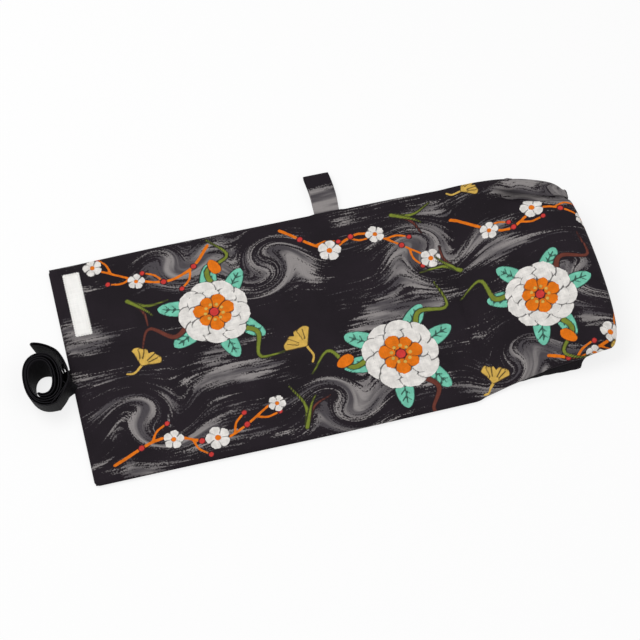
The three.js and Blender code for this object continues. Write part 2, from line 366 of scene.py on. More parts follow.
def blackCotton():
    material, tree, shader = newMaterial("blackCotton", Roughness=0.88, Specular_IOR_Level=0.1)
    _, threads, fluff = clothNodes(tree, 1500.0)
    ground = mixColour(tree, fluff["Patches"], colour("#131114"), colour("#1b181c"))
    weaveTone = ramp(tree, threads["Slub"], 0.3, 0.7, 0.8, 1.2)
    shade = mixColour(tree, 1.0, ground, weaveTone, "MULTIPLY")
    shade = mixColour(tree, maths(tree, "MULTIPLY", fluff["Specks"], 0.2), shade, colour("#77727a"))
    tree.links.new(shade, shader.inputs["Base Color"])
    bumpTo(tree, shader, threads["Height"], 0.5, 0.0003)
    return material


# Webbing: fine ribs across its length, smoother along the two woven edges; its colour has painted shade in
# the grooves between the ribs and a painted sheen along the two edges
def webbing():
    material, tree, shader = newMaterial("webbing", Roughness=0.65, Specular_IOR_Level=0.08)
    cloth, _, fluff = clothNodes(tree, 900.0)
    parts = addNode(tree, "ShaderNodeSeparateXYZ", {0: cloth}).outputs
    ribs = maths(tree, "SINE", maths(tree, "MULTIPLY", parts[0], 2 * math.pi / (0.9 * mm)))
    edge = ramp(tree, maths(tree, "ABSOLUTE", parts[1]), 10.8 * mm, 11.3 * mm)
    height = maths(tree, "ADD", maths(tree, "MULTIPLY", ribs, 0.5), maths(tree, "MULTIPLY", edge, 0.6))
    ground = mixColour(tree, fluff["Patches"], colour("#0b0a0c"), colour("#121114"))
    # painted sheen: the band along the two edges is given a lighter colour
    shade = mixColour(tree, maths(tree, "MULTIPLY", edge, 0.5), ground, colour("#1c1a1e"))
    # painted shade: the colour goes darker in the rib grooves and lighter on the rib crests
    weaveTone = ramp(tree, ribs, -1.0, 1.0, 0.8, 1.15)
    shade = mixColour(tree, 1.0, shade, weaveTone, "MULTIPLY")
    tree.links.new(shade, shader.inputs["Base Color"])
    bumpTo(tree, shader, height, 0.5, 0.0003)
    return material


def wovenLabel():
    material, tree, shader = newMaterial("wovenLabel", Roughness=0.7, Sheen_Weight=0.1)
    _, threads, fluff = clothNodes(tree, 2600.0)
    ground = mixColour(tree, fluff["Patches"], colour("#f4f2ee"), colour("#fbfaf7"))
    weaveTone = ramp(tree, threads["Slub"], 0.3, 0.7, 0.93, 1.03)
    shade = mixColour(tree, 1.0, ground, weaveTone, "MULTIPLY")
    tree.links.new(shade, shader.inputs["Base Color"])
    bumpTo(tree, shader, threads["Height"], 0.4, 0.0002)
    return material


# Felt: short fibres that lie every way, from two stretched noises
def feltSheet():
    material, tree, shader = newMaterial("feltSheet", Roughness=0.95, Sheen_Weight=0.3)
    place = addNode(tree, "ShaderNodeTexCoord").outputs["Object"]
    fibres = [noise(tree, scaled(tree, place, s), 1.0, 3.0) for s in ((150, 1200, 600), (1200, 150, 600))]
    height = maths(tree, "MAXIMUM", *fibres)
    shade = mixColour(tree, ramp(tree, height, 0.4, 0.75), colour("#b9b4ab"), colour("#d9d5cd"))
    tree.links.new(shade, shader.inputs["Base Color"])
    bumpTo(tree, shader, height, 0.6, 0.0006)
    return material


# Thread: two plies twisted together, seen as slanted bands; the darker bands are painted shade between the
# plies
def sewingThread(name, dark, light):
    material, tree, shader = newMaterial(name, Roughness=0.55, Sheen_Weight=0.15)
    parts = addNode(tree, "ShaderNodeSeparateXYZ", {0: attribute(tree, "cloth", "Vector")}).outputs
    slant = maths(tree, "ADD", parts[0], parts[1])
    bands = maths(tree, "SINE", maths(tree, "MULTIPLY", slant, 2 * math.pi / (0.5 * mm)))
    # painted shade: the colour goes darker in the grooves between the plies and lighter on their crests
    shade = mixColour(tree, ramp(tree, bands, -1.0, 1.0), colour(dark), colour(light))
    tree.links.new(shade, shader.inputs["Base Color"])
    bumpTo(tree, shader, bands, 0.5, 0.0001)
    return material


printedCottonCloth = printedCotton()
blackCottonCloth = blackCotton()
webbingTape = webbing()
labelTape = wovenLabel()
feltCloth = feltSheet()
blackThread = sewingThread("blackThread", "#141316", "#29272c")
whiteThread = sewingThread("whiteThread", "#cfcbc4", "#f2efea")
print("materials made")


# The print, painted as fields over the cloth: each ink's value is how far inside its shapes a point is
farAway = 8.0  # fields are not worked out further from a line than this


def petal(at, root, angle, length, width, fullness):
    heading = np.array([math.cos(angle), math.sin(angle)])
    d = at - root
    along = d @ heading / length
    across = np.abs(d @ np.array([-heading[1], heading[0]]))
    a = np.clip(along, 0, 1) ** fullness
    inside = width / 2 * np.sqrt(np.clip(1 - (2 * a - 1) ** 2, 0, 1)) - across
    past = np.maximum(-along, along - 1) * length
    return np.where(past > 0, -np.hypot(np.maximum(past, 0), across), inside)


def brushLine(at, points, startWidth, endWidth):
    path = smoothPath(points, 22)
    near = np.all((at > path.min(0) - farAway) & (at < path.max(0) + farAway), axis=1)
    spots = at[near]
    best = np.full(len(spots), -farAway)
    for k in range(len(path) - 1):
        a, b = path[k], path[k + 1]
        along = np.clip((spots - a) @ (b - a) / max((b - a) @ (b - a), 1e-9), 0, 1)
        share = (k + along) / (len(path) - 1)
        half = startWidth + (endWidth - startWidth) * share
        best = np.maximum(best, half - np.linalg.norm(spots - a - along[:, None] * (b - a), axis=1))
    field = np.full(len(at), -farAway)
    field[near] = best
    return field


def disc(at, centre, radius):
    return radius - np.linalg.norm(at - np.array(centre), axis=1)


# ginkgo leaf: a fan with a wavy rim and a notch in its middle
def fanLeaf(at, root, angle, reach):
    d = at - np.array(root)
    r = np.hypot(d[:, 0], d[:, 1])
    turn = (np.arctan2(d[:, 1], d[:, 0]) - angle + math.pi) % (2 * math.pi) - math.pi
    rim = reach * (1 + 0.05 * np.cos(turn * 9) - 0.28 * bell(turn, 0.13))
    sides = r * (0.95 - np.abs(turn))
    return np.minimum(rim - r, sides)


class PaintedCloth:
    def __init__(self, at):
        self.at = at
        self.fields = {name: np.full(len(at), -60.0) for name, _ in printInks}
        self.ink = np.full(len(at), 9.0)

    def lay(self, name, field, outlined=True):
        for other in self.fields:
            if other != name:
                self.fields[other] = np.minimum(self.fields[other], -field)
        self.fields[name] = np.maximum(self.fields[name], field)
        edge = np.minimum(field**2, 9.0) if outlined else np.full(len(field), 9.0)
        self.ink = np.where(field > 0, edge, np.minimum(self.ink, edge))

    def vein(self, points):
        line = brushLine(self.at, points, 0.0, 0.0)
        self.ink = np.minimum(self.ink, line**2)


def polar(centre, angle, radius):
    return np.array(centre) + radius * np.array([math.cos(angle), math.sin(angle)])


def leafSpray(cloth, name, root, angle, length, width):
    cloth.lay(name, petal(cloth.at, np.array(root), angle, length, width, 0.85))
    cloth.vein([root, polar(root, angle + 0.04, length * 0.5), polar(root, angle, length * 0.86)])
    for k in (0.3, 0.5, 0.68):
        start = polar(root, angle, length * k)
        for side in (-1, 1):
            cloth.vein([start, polar(start, angle + side * 0.75, width * 0.33)])


# layered blossom: rings of round petals, widest first, with a dotted heart
def blossom(cloth, centre, radius, turn):
    for ring, (share, count, tint) in enumerate(((1.0, 9, "white"), (0.74, 8, "white"), (0.5, 7, "orange"))):
        for k in range(count):
            angle = turn + ring * 0.35 + 2 * math.pi * k / count
            root = polar(centre, angle, radius * 0.08)
            length = radius * share * (0.95 + 0.07 * math.sin(3.1 * k + ring))
            cloth.lay(tint, petal(cloth.at, root, angle, length, length * 0.8, 1.9))
    cloth.lay("red", disc(cloth.at, centre, radius * 0.14))
    for k in range(9):
        spot = polar(centre, turn + 2 * math.pi * k / 9, radius * 0.25)
        cloth.lay("gold", disc(cloth.at, spot, radius * 0.05), False)


def smallFlower(cloth, centre, radius, turn):
    for k in range(5):
        angle = turn + 2 * math.pi * k / 5
        cloth.lay("white", petal(cloth.at, np.array(centre), angle, radius, radius * 0.95, 2.0))
    cloth.lay("orange", disc(cloth.at, centre, radius * 0.26), False)


def bloomGroup(cloth, centre, radius, turn):
    for k, spin in enumerate((0.3, 1.25, 2.3, 3.5, 4.35, 5.35)):
        root = polar(centre, turn + spin, radius * 0.55)
        leafSpray(cloth, "teal", root, turn + spin + (0.25, -0.3)[k % 2], radius * 1.05, radius * 0.5)
    for k, spin in enumerate((0.85, 2.9, 4.9)):
        start = polar(centre, turn + spin, radius * 0.7)
        bend = polar(centre, turn + spin + 0.25, radius * 1.35)
        wave = polar(centre, turn + spin - 0.1, radius * 1.9)
        end = polar(centre, turn + spin + 0.2, radius * 2.4)
        cloth.lay(("olive", "rust")[k % 2], brushLine(cloth.at, [start, bend, wave, end], 3.2, 0.9))
    bud = polar(centre, turn + 0.85, radius * 1.28)
    cloth.lay("orange", petal(cloth.at, bud, turn + 1.5, radius * 0.5, radius * 0.34, 0.8))
    blossom(cloth, centre, radius, turn)


def twigGroup(cloth, points, flowers, berries):
    cloth.lay("orange", brushLine(cloth.at, points, 1.5, 0.95), False)
    path = smoothPath(points, 60)
    for k, side in ((14, 1), (27, -1), (41, 1), (50, -1)):
        lean = path[k + 2] - path[k]
        angle = math.atan2(lean[1], lean[0]) + side * 0.8
        bend = polar(path[k], angle, 11)
        tip = polar(bend, angle - side * 0.5, 12)
        cloth.lay("orange", brushLine(cloth.at, [path[k], bend, tip], 1.1, 0.9), False)
        cloth.lay("red", disc(cloth.at, tip, 2.6))
    for k in berries:
        cloth.lay("red", disc(cloth.at, path[k], 3.0))
    for k, (share, size) in enumerate(flowers):
        spot = path[share] + np.array([2.0, -3.0]) * (-1) ** k
        smallFlower(cloth, spot, size, 0.5 * k)


def grassBlades(cloth, root, angle, length):
    for k, (name, lean) in enumerate((("olive", 0.5), ("rust", -0.45), ("olive", -0.1))):
        bend = polar(root, angle + lean * 0.4, length * 0.5)
        tip = polar(root, angle + lean, length * (1 - 0.13 * k))
        cloth.lay(name, brushLine(cloth.at, [root, bend, tip], 2.2, 0.9))


def goldLeaf(cloth, root, angle, reach):
    stalk = [np.array(root), polar(root, angle + 2.9, reach * 0.5), polar(root, angle + 2.6, reach * 0.8)]
    cloth.lay("gold", brushLine(cloth.at, stalk, 1.1, 0.9), False)
    cloth.lay("gold", fanLeaf(cloth.at, root, angle, reach))
    for turn in (-0.6, -0.3, 0.3, 0.6):
        cloth.vein([polar(root, angle + turn, reach * 0.4), polar(root, angle + turn, reach * 0.9)])


# swirls turn the cloth's own coordinates about a centre, less and less with distance
cloudSwirls = [
    (62, -62, 2.4, 30), (200, 72, -2.6, 28), (232, -88, 2.2, 26), (352, 48, 2.4, 30),
    (398, -88, -2.2, 26), (486, -22, 2.6, 28), (505, 74, -2.0, 26), (112, 92, 2.0, 22),
]
cloudBanks = [
    (58, -66, 52, 34), (205, 74, 60, 34), (240, -92, 56, 26), (350, 50, 60, 36),
    (402, -92, 44, 26), (484, -26, 44, 34), (500, 76, 40, 30), (108, 92, 50, 22), (20, 30, 30, 24),
    (468, 96, 56, 22), (474, -102, 36, 16), (150, -38, 50, 14), (300, 2, 44, 16), (270, 106, 50, 14),
    (428, 30, 36, 18), (120, -104, 50, 12),
]


def cloudFlow(at):
    flow = at.copy()
    for s, t, turn, reach in cloudSwirls:
        d = flow - np.array([s, t])
        angle = turn * bell(np.hypot(d[:, 0], d[:, 1]), reach)
        c, n = np.cos(angle), np.sin(angle)
        flow = np.stack([s + c * d[:, 0] - n * d[:, 1], t + n * d[:, 0] + c * d[:, 1]], 1)
    banks = sum(bell((at[:, 0] - s) / w, 1) * bell((at[:, 1] - t) / h, 1) for s, t, w, h in cloudBanks)
    return flow, 0.2 * np.minimum(banks, 1.0) - 0.09


def paintPrint(s, t):
    at = np.stack([s.ravel(), t.ravel()], 1)
    cloth = PaintedCloth(at)
    twigGroup(cloth, [(22, -100), (70, -84), (120, -98), (176, -70)],
              ((20, 9), (36, 11), (58, 8)), (10, 30, 46))
    twigGroup(cloth, [(222, 104), (262, 74), (300, 82), (356, 40)],
              ((18, 11), (38, 9), (57, 10)), (8, 28, 47))
    twigGroup(cloth, [(384, 74), (430, 40), (472, 54), (524, 26)], ((14, 9), (34, 11), (50, 8)), (24, 43))
    twigGroup(cloth, [(152, 104), (130, 82), (96, 76), (40, 104)], ((40, 8), (57, 9)), (12, 27))
    twigGroup(cloth, [(428, -96), (456, -104), (486, -92), (520, -62)], ((22, 8), (38, 10)), (10, 52))
    bloomGroup(cloth, (142, 32), 33, 0.4)
    bloomGroup(cloth, (298, -52), 35, 2.1)
    bloomGroup(cloth, (440, -36), 32, 4.0)
    grassBlades(cloth, (196, -104), 1.2, 44)
    grassBlades(cloth, (378, 18), 2.4, 40)
    grassBlades(cloth, (66, 62), -0.7, 38)
    grassBlades(cloth, (330, 96), -0.4, 40)
    goldLeaf(cloth, (64, -8), 0.9, 19)
    goldLeaf(cloth, (216, -24), 2.2, 21)
    goldLeaf(cloth, (372, -104), 1.1, 18)
    goldLeaf(cloth, (402, 100), 0.3, 17)
    goldLeaf(cloth, (500, -104), 1.9, 16)
    flow, cloudy = cloudFlow(at)
    values = {name: field.reshape(s.shape) for name, field in cloth.fields.items()}
    values["ink"] = cloth.ink.reshape(s.shape)
    values["cloudy"] = cloudy.reshape(s.shape)
    values["flow"] = np.concatenate([flow * mm, 0 * flow[:, :1]], 1).reshape(*s.shape, 3)
    values["cloth"] = np.stack([s * mm, t * mm, 0 * s], -1)
    return values


# Printed cover: one cloth for the panel, the bag's front and the front's half of the sides and base
coverCloth = {
    "step": 1.3,
    "thickness": 0.9,
    "edgeRound": 5.0,
    "edgeDrop": 2.7,
    "edgeLift": 1.5,  # over the strap and the loop, which leave the seam there
    "liftReach": (19.0, 13.0),
    "waves": 0.22,
    "farPull": 1.6,  # the far corner by the strap is drawn in
    "farReach": 120.0,
    "nearBulge": 0.9,
    "bulgeReach": 90.0,
    "bagFrom": -25.0,  # where the flat panel starts to turn into the bag, from the mouth
    "bagFull": -11.0,
    "squareness": (2.3, 2.5),  # of the section, near side and far side
    # middle of the bag's front, from the mouth: distance, height
    "spine": [(-25, 4.6), (-6, 4.8), (12, 8.6), (32, 16), (55, 25.5), (78, 34.5), (98, 41), (111, 43),
              (119, 40.5), (122, 34), (120, 27), (114, 21)],
    "spineCorner": 8,  # which point of the spine is the base's upper edge
    # seams on the bag's sides, from the mouth and the middle: distance, half width, height
    "nearSeam": [(-25, 115, 1.9), (-15, 112.9, 2.0), (-3, 110.2, 2.2), (9.5, 107.6, 2.8), (21, 105.9, 4.6),
                 (35, 104.4, 7.4), (50, 103.2, 10.5), (65, 102.8, 13.2), (79, 102.4, 15.6), (90, 101.3, 17.6),
                 (101, 100.6, 19.4), (109.5, 99.8, 20.6), (112.8, 93.5, 21), (114, 85, 21)],
    "nearCorner": 11,  # which point of the seam is the bag's corner
    "farSeam": [(-25, 115, 1.9), (-8, 114.6, 2.0), (10, 113.5, 3.2), (28, 112, 6.2), (46, 109, 9.8),
                (64, 104.5, 13.2), (82, 96.8, 17), (96, 88.6, 19.6), (105, 82.4, 20.6),
                (111, 74.5, 21), (113, 66, 21)],
    "farCorner": 8,
}


# a quarter of the curve y^n + z^n = 1, as shares of the half width and of the rise, from the middle out
def superSection(n, count=700):
    turn = (1 - (1 - np.linspace(0, 1, count)) ** 1.5) * math.pi / 2
    rise = np.cos(turn) ** (2 / n)
    rise[-1] = 0
    return np.sin(turn) ** (2 / n), rise


# share of length at which a path passes the given one of its points
def shareAt(points, index):
    p = np.asarray(points, float)
    path = smoothPath(p, 2000)
    nearest = np.argmin(np.linalg.norm(path - p[index], axis=1))
    return nearest / 1999


# rows of a seam: its corner falls on the row where the spine passes its own corner
def seamRows(settings, side, rows):
    points = settings[side + "Seam"]
    path = smoothPath(points, 2000)
    corner = shareAt(settings["spine"], settings["spineCorner"])
    seamCorner = shareAt(points, settings[side + "Corner"])
    share = np.interp(np.linspace(0, 1, rows), [0, corner, 1], [0, seamCorner, 1])
    return np.stack([np.interp(share * 1999, np.arange(2000), path[:, k]) for k in range(3)], 1)


# each row runs from seam to seam: x and z go from the seam's to the spine's by the rise, y by the width
def bagRows(settings, rows, columns):
    spine = smoothPath(settings["spine"], rows)
    halves = []
    for side, sign, n in zip(("near", "far"), (-1, 1), settings["squareness"]):
        seam = seamRows(settings, side, rows)
        across, rise = superSection(n)
        x = seam[:, :1] + (spine[:, :1] - seam[:, :1]) * rise
        z = seam[:, 2:] + (spine[:, 1:] - seam[:, 2:]) * rise
        halves.append(np.stack([x, sign * seam[:, 1:2] * across, z], -1))
    sections = np.concatenate([halves[0][:, ::-1], halves[1][:, 1:]], 1)
    return np.stack([resample(row, columns) for row in sections]), spine


def evenCount(length, step):
    return 2 * int(round(length / step / 2)) + 1


def panelSection(settings):
    r, drop = settings["edgeRound"], settings["edgeDrop"]
    turn = np.linspace(0, math.pi / 2, 60)
    edge = np.stack([np.sin(turn), drop * (1 - np.cos(turn))], 1)
    flat = halfWidth - r
    right = np.stack([flat + r * edge[:, 0], -edge[:, 1], edge[:, 0]], 1)
    left = right[::-1] * np.array([-1, 1, -1])
    dense = np.vstack([left, right])
    along = arcLength(dense[:, :2])
    columns = evenCount(along[-1], settings["step"])
    at = np.linspace(0, along[-1], columns)
    return [np.interp(at, along, dense[:, k]) for k in (0, 2)]


def strapEndRows(settings):
    r, drop = settings["edgeRound"], settings["edgeDrop"]
    turn = np.linspace(math.pi / 2, 0, 60)
    edge = np.stack([r - r * np.sin(turn), drop * np.cos(turn), np.sin(turn)], 1)
    length = mouthX + settings["bagFrom"] - strapEnd
    dense = np.vstack([edge, [[length, drop, 0]]])
    along = arcLength(dense[:, :2])
    rows = evenCount(along[-1], settings["step"])
    at = np.linspace(0, along[-1], rows)
    return [np.interp(at, along, dense[:, k]) for k in (0, 2)]


# soft unevenness of the laid cloth: a few long sine waves at fixed angles
def laidWaves(x, y):
    total = np.zeros_like(x)
    for k, (a, b, phase) in enumerate(((0.021, 0.013, 0.4), (-0.014, 0.034, 2.1), (0.043, -0.021, 4.0),
                                       (0.031, 0.047, 1.2), (0.075, 0.02, 5.1), (-0.05, 0.08, 3.3))):
        total += np.sin(a * x + b * y + phase) / (1 + 0.35 * k)
    return total / 3


# x and y run on to the rounded edge, where the shares a and b go from 0 to 1; z drops as a quarter ellipse
def panelGrid(settings, x, b, y, a):
    r = settings["edgeRound"]
    endShare, sideShare = b[:, None], a[None, :]
    inX = strapEnd + r - r * endShare * np.sqrt(1 - sideShare**2 / 2)
    inY = np.sign(sideShare) * (halfWidth - r) + r * sideShare * np.sqrt(1 - endShare**2 / 2)
    gridX = np.where(endShare > 0, inX, strapEnd + x[:, None] + 0 * sideShare)
    gridY = np.where(sideShare != 0, inY, y[None, :] + 0 * endShare)
    away = np.clip(sideShare**2 + endShare**2 - sideShare**2 * endShare**2, 0, 1)
    nearStrap = endShare * smoothStep(np.abs(gridY + middleY - strapMiddleY), *settings["liftReach"])
    nearLoop = np.maximum(sideShare, 0) * smoothStep(np.abs(gridX - loopMiddleX), *settings["liftReach"])
    drop = settings["edgeDrop"] - settings["edgeLift"] * np.maximum(nearStrap, nearLoop)
    gridZ = panelTop - drop * (1 - np.sqrt(1 - away))
    far, near = smoothStep(gridY, 0, halfWidth), smoothStep(gridY, 0, -halfWidth)
    pullEnd = strapEnd + settings["farReach"]
    gridY = gridY - settings["farPull"] * far * smoothStep(gridX, pullEnd, strapEnd)
    gridY = gridY - settings["nearBulge"] * near * bell(gridX, settings["bulgeReach"])
    return np.stack([gridX, gridY + middleY, gridZ], -1)


def distanceToPath(x, y, points):
    path = smoothPath(points, 40)
    gaps = np.hypot(x[..., None] - path[:, 0], y[..., None] - path[:, 1])
    nearest = np.argmin(gaps, -1)
    return np.take_along_axis(gaps, nearest[..., None], -1)[..., 0], nearest / 39


bagFolds = {
    # the roll on the far side lies between two lines, from the mouth and the middle: distance, place across
    "rollFoot": [(50, 92), (62.8, 81), (75, 72.3), (87.8, 65.6), (101.3, 61.2), (118.7, 59.3), (130, 59)],
    "rollBack": [(50, 96), (69, 92), (80, 88), (90, 83.6), (100.6, 78.6), (110.8, 73),
                 (120, 64.5), (130, 60)],
    "rollTop": 39.0,
    "rollFall": 0.06,  # the roll's top drops towards the base
    "rollCrown": 3.5,
    "rollLean": 3.4,
    "grooveDepth": 5.0,
    "grooveWidth": 3.4,
    "growFrom": (50.0, 68.0),  # the roll's length, from the mouth
    "growTo": (127.0, 116.0),
    "grooveShift": 1.5,
    "hemReach": (1.0, 10.0),  # the far hem and the base's hem keep their place
    "cornerDepth": 3.6,
    "cornerWidth": 3.4,
    "corner": [(84, -66), (90.3, -71.7), (99, -77.6), (106, -84.4), (110, -91.6), (112, -96)],
    "creaseDepth": 1.8,
    "creaseWidth": 3.2,
    "crease": [(10, 84), (4, 40), (-4, -10), (-6, -60)],
}


# sculpted folds: a roll and its groove along the far side, a pinched near corner, a crease at the mouth
def foldBag(points):
    f = bagFolds
    x, y, z = points[..., 0] - mouthX, points[..., 1] - middleY, points[..., 2]
    foot, back = (np.interp(x, *np.array(f[key]).T) for key in ("rollFoot", "rollBack"))
    share = (y - foot) / (back - foot)
    toBase = np.cumsum(np.linalg.norm(np.diff(points, axis=0, append=points[-1:]), axis=2)[::-1], 0)[::-1]
    across = np.cumsum(np.linalg.norm(np.diff(points, axis=1, prepend=points[:, :1]), axis=2), 1)
    held = smoothStep(np.minimum(toBase, across[:, -1:] - across), *f["hemReach"])
    grown = smoothStep(x, *f["growFrom"]) * smoothStep(x, *f["growTo"]) * held
    roll = grown * smoothStep(share, 0.0, 0.25) * smoothStep(share, 1.35, 0.85)
    crown = f["rollTop"] - f["rollFall"] * (x - f["growFrom"][1])
    crown = crown - f["rollCrown"] * (2 * np.clip(share, 0, 1) - 1) ** 2
    groove = grown * bell(y - foot + f["grooveShift"], f["grooveWidth"])
    gap, along = distanceToPath(x, y, f["corner"])
    pinch = bell(gap, f["cornerWidth"]) * smoothStep(along, 0.0, 0.3)
    gap, _ = distanceToPath(x, y, f["crease"])
    crease = bell(gap, f["creaseWidth"])
    moved = points.copy()
    moved[..., 1] -= f["rollLean"] * roll * bell(share - 0.2, 0.3)
    moved[..., 2] += roll * np.maximum(crown - z, 0) - f["grooveDepth"] * groove
    moved[..., 2] -= f["cornerDepth"] * pinch + f["creaseDepth"] * crease
    return moved


def makeCover():
    c = coverCloth
    y, a = panelSection(c)
    x, b = strapEndRows(c)
    flat = panelGrid(c, x, b, y, a)
    columns = len(y)
    spineLength = arcLength(smoothPath(c["spine"], 2000))[-1]
    rows = evenCount(spineLength, c["step"])
    bag, spine = bagRows(c, rows, columns)
    bag = bag + np.array([mouthX, middleY, 0])
    same = panelGrid(c, spine[:, 0] + mouthX - strapEnd, np.zeros(rows), y, a)
    k = smoothStep(spine[:, 0], c["bagFrom"], c["bagFull"])[:, None, None]
    bag = same + (bag - same) * k
    grid = np.concatenate([flat, foldBag(bag)[1:]])
    grid[..., 2] += c["waves"] * (laidWaves(grid[..., 0], grid[..., 1]) + 0.6)
    s = np.concatenate([0 * grid[:1, :, 0], np.cumsum(np.linalg.norm(np.diff(grid, axis=0), axis=2), 0)])
    t = np.concatenate([0 * grid[:, :1, 0], np.cumsum(np.linalg.norm(np.diff(grid, axis=1), axis=2), 1)], 1)
    t -= t[:, columns // 2:columns // 2 + 1]
    points, faces = closedSheet(grid, c["thickness"], 2)
    values = {key: onBothSides(v, 2) for key, v in paintPrint(s, t).items()}
    piece = makePiece("printedCover", points, faces, printedCottonCloth, values)
    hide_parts("printed_cover")


makeCover()


# Bag back: black cloth on the table, with the back's half of the sides and of the base
backCloth = {
    "step": 2.2,
    "thickness": 0.8,
    "squareness": (24.0, 14.0),
    "tuck": 0.5,  # its edge lies below the cover's edge
    "flare": 3.4,  # the floor is wider than the seam towards the base
    "flareSide": (60.0, 95.0),
    "flareLength": (20.0, 75.0),
    "flareHeight": 9.0,
    "across": 232.0,
    "lowest": 0.05,
    "spine": [(12, 0.05), (40, 0.05), (66, 0.05), (79, 0.1), (81.2, 1.6), (81.8, 6.5), (84.5, 12), (91, 16),
              (101, 19), (113, 20.4)],
    "spineCorner": 3,
    "nearSeam": [(12, 105.8, 2.2), (21, 104.6, 4.0), (35, 103.2, 6.8), (50, 102.0, 9.9), (65, 101.6, 12.6),
                 (77, 101.4, 14.6), (85, 100, 16.4), (96, 98.6, 18.4), (107, 96.6, 19.9), (111.4, 91, 20.4),
                 (113, 84, 20.4)],
    "nearCorner": 5,
    "farSeam": [(12, 112, 2.8), (28, 111, 5.8), (46, 108, 9.4), (64, 103.6, 12.8), (79, 97, 15.6),
                (95, 88.2, 18.9), (104, 81.6, 20), (110, 74, 20.4), (112, 66, 20.4)],
    "farCorner": 4,
}


def makeBagBack():
    c = backCloth
    rows = evenCount(arcLength(smoothPath(c["spine"], 2000))[-1], c["step"])
    grid, _ = bagRows(c, rows, evenCount(c["across"], c["step"]))
    grid[..., 2] -= c["tuck"] * smoothStep(grid[..., 2], 0.5, 3.0)
    wide = smoothStep(np.abs(grid[..., 1]), *c["flareSide"]) * smoothStep(grid[..., 0], *c["flareLength"])
    wide = wide * bell(grid[..., 2], c["flareHeight"])
    grid[..., 1] += np.sign(grid[..., 1]) * c["flare"] * wide
    grid[..., 2] = np.maximum(grid[..., 2], c["lowest"])
    grid = grid + np.array([mouthX, middleY, 0])
    grid = grid[:, ::-1]
    along = np.cumsum(np.linalg.norm(np.diff(grid, axis=0, prepend=grid[:1]), axis=2), 0)
    over = np.cumsum(np.linalg.norm(np.diff(grid, axis=1, prepend=grid[:, :1]), axis=2), 1)
    points, faces = closedSheet(grid, c["thickness"])
    cloth = onBothSides(np.stack([along, over, 0 * along], -1) * mm)
    piece = makePiece("bagBack", points, faces, blackCottonCloth, {"cloth": cloth})
    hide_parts("bag_back")


makeBagBack()


# Lining: black cloth on the panel's inner side, its edge turned up against the cover's edge
liningCloth = {"step": 2.5, "thickness": 0.6, "edgeRound": 3.0, "edgeRise": 0.15, "mouthInset": 5.6}


def makeLining():
    c = liningCloth
    length = mouthX - strapEnd
    u = np.linspace(0, 1, evenCount(length, c["step"]))[:, None]
    v = np.linspace(-1, 1, evenCount(2 * halfWidth, c["step"]))[None, :]
    x = strapEnd + 1.0 + (length - 1.0) * u + 0 * v
    inset = c["mouthInset"] * smoothStep(x, mouthX - 28, mouthX) * smoothStep(v, 0, -1)
    y = middleY + (halfWidth - 1.0) * v + inset
    edge = np.minimum.reduce([x - strapEnd, mouthX - x, halfWidth - np.abs(y - middleY)])
    z = liningLow[2] + c["edgeRise"] * smoothStep(edge, c["edgeRound"], 0.5)
    grid = np.stack([x, y, z], -1)[:, ::-1]
    points, faces = closedSheet(grid, c["thickness"])
    cloth = onBothSides((grid - coverLow) * np.array([1, 1, 0]) * mm)
    piece = makePiece("liningPanel", points, faces, blackCottonCloth, {"cloth": cloth})
    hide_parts("lining_panel")


makeLining()


# Patch pocket on the inner side, with a folded hem along its open edge and sewn channels for pens
pocketCloth = {"step": 2.0, "thickness": 0.45, "hem": 12.0, "channels": 7, "puff": 0.12,
               "rowInset": 1.5, "rowLevel": 0.25, "rowArch": -0.6}


def makePocket():
    c = pocketCloth
    size = pocketHigh - pocketLow
    u = np.linspace(0, 1, evenCount(size[0], c["step"]))[:, None]
    v = np.linspace(0, 1, evenCount(size[1], c["step"]))[None, :]
    puff = np.abs(np.sin(math.pi * c["channels"] * u)) * smoothStep(v, 0, 0.06) + 0 * v
    hem = smoothStep(v, 1 - (c["hem"] + 1.5) / size[1], 1 - c["hem"] / size[1]) + 0 * u
    z = pocketLow[2] + 0.2 - c["puff"] * np.maximum(puff, hem) + 0.05
    grid = np.stack([pocketLow[0] + size[0] * u + 0 * v, pocketLow[1] + size[1] * v + 0 * u, z], -1)[:, ::-1]
    points, faces = closedSheet(grid, c["thickness"])
    cloth = onBothSides((grid - coverLow) * np.array([1, 1, 0]) * mm)
    piece = makePiece("pocketPanel", points, faces, blackCottonCloth, {"cloth": cloth})
    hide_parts("pocket_panel")
    return piece


pocketPanel = makePocket()


# Closing strap: flat in the seam, twisted upright, rolled in double, with a free tail at the outside
strapTape = {
    "width": 25.0,
    "thickness": 1.4,
    "centre": (-246.0, -31.8),
    "halfX": 19.5,
    "halfY": 25.5,
    "fullness": 2.2,
    "spacing": 1.8,
    "setIn": (1.07, 1.2),  # the turns lie closer at the left and right
    "turns": 2.3,
    "shift": (-1.9, 0.9),  # of the inner turns
    "lean": -2.6,  # of the coil's top along x, over the strap's width
    "innerLean": -6.0,  # of its innermost turn
    "flare": 5.5,  # the coil's top is deeper than its foot
    "firstAngle": -58.0,
    "lift": 0.2,
    # from the seam to the first turn, from the cloth's end and the strap's middle
    "start": [(11.5, 0), (5, 0), (0, -0.3), (-3.0, -5.5), (-6.6, -14.5)],
    "uprightFrom": (10.5, 27.0),  # length over which the strap twists upright
    "leanFrom": (22.0, 50.0),
    "tailFrom": (22.0, -12.0),  # where the lean ends, before and past the tail's start
    "tailLean": 0.35,
    "slantReach": 9.0,
    "foldGap": 50.0,  # degrees that the inner fold stays short of the full turns
    # free end past the last turn, folded back on itself, at half height
    "tailSlant": 6.0,  # the folded end leans back below
    "tail": [(-229, -42), (-225.3, -33), (-226.4, -20), (-230.6, -8), (-237, -1.2), (-244.4, 3.4),
             (-251, 5.6), (-253.2, 4.6), (-250.6, 2.8), (-244.2, 0.4), (-238.4, -3.4),
             (-233.8, -8.6), (-230.6, -14.8), (-229, -21.5)],
}


